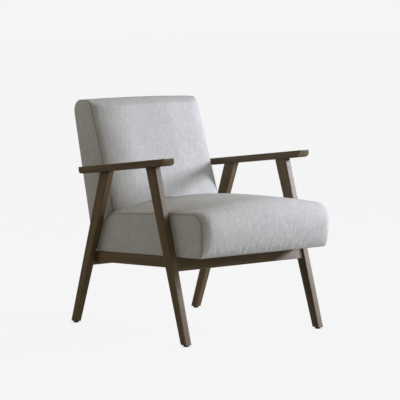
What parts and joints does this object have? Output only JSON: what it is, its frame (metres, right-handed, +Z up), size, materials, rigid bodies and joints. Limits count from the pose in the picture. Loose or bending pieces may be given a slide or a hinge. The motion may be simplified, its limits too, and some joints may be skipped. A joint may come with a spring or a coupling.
{
  "type": "armchair",
  "caption": "Upholstered armchair with an exposed dark timber frame, sloping flat armrests, raked tapered legs, a thick crowned seat and a leaning boxed back in pale woven fabric.",
  "frame": {"origin": "On the floor, under the middle of the chair's outer box.", "axes": "+X to the viewer's right as seen from the front, +Y from the seat towards the back, +Z up. The chair faces -Y."},
  "size_m": [0.6376, 0.764, 0.7734],
  "materials": {
    "frame_timber": "satin lacquer over a dark brown stain",
    "inner_timber": "planed, uncoated",
    "zinc_steel": "zinc plated",
    "black_plastic": "moulded",
    "webbing": "woven elastic strap",
    "foam": "cut open-cell foam",
    "cover_fabric": "plain linen weave, pale warm grey",
    "lining_cloth": "thin felted lining cloth"
  },
  "bodies": {
    "root": {"left_armrest": "frame_timber", "right_armrest": "frame_timber", "left_front_leg": "frame_timber", "right_front_leg": "frame_timber", "left_rear_leg": "frame_timber", "right_rear_leg": "frame_timber", "front_rail": "frame_timber", "rear_rail": "frame_timber", "left_side_rail": "frame_timber", "right_side_rail": "frame_timber", "armrest_dowels": "inner_timber", "rail_dowels": "inner_timber", "side_rail_dowels": "inner_timber", "left_corner_block": "inner_timber", "right_corner_block": "inner_timber", "corner_block_screws": "zinc_steel", "foot_glides": "black_plastic", "seat_front_bar": "inner_timber", "seat_rear_bar": "inner_timber", "seat_left_bar": "inner_timber", "seat_right_bar": "inner_timber", "seat_frame_dowels": "inner_timber", "seat_brackets": "zinc_steel", "seat_bracket_screws": "zinc_steel", "seat_fixing_screws": "zinc_steel", "seat_cross_webbing": "webbing", "seat_long_webbing": "webbing", "seat_foam": "foam", "seat_cover": "cover_fabric", "dust_cover": "lining_cloth", "back_left_stile": "inner_timber", "back_right_stile": "inner_timber", "back_top_rail": "inner_timber", "back_lower_rail": "inner_timber", "back_frame_dowels": "inner_timber", "back_webbing": "webbing", "back_foam": "foam", "back_cover": "cover_fabric", "back_outer_panel": "cover_fabric", "back_bolts": "zinc_steel", "back_washers": "zinc_steel", "back_inserts": "zinc_steel"}
  },
  "joints": []
}
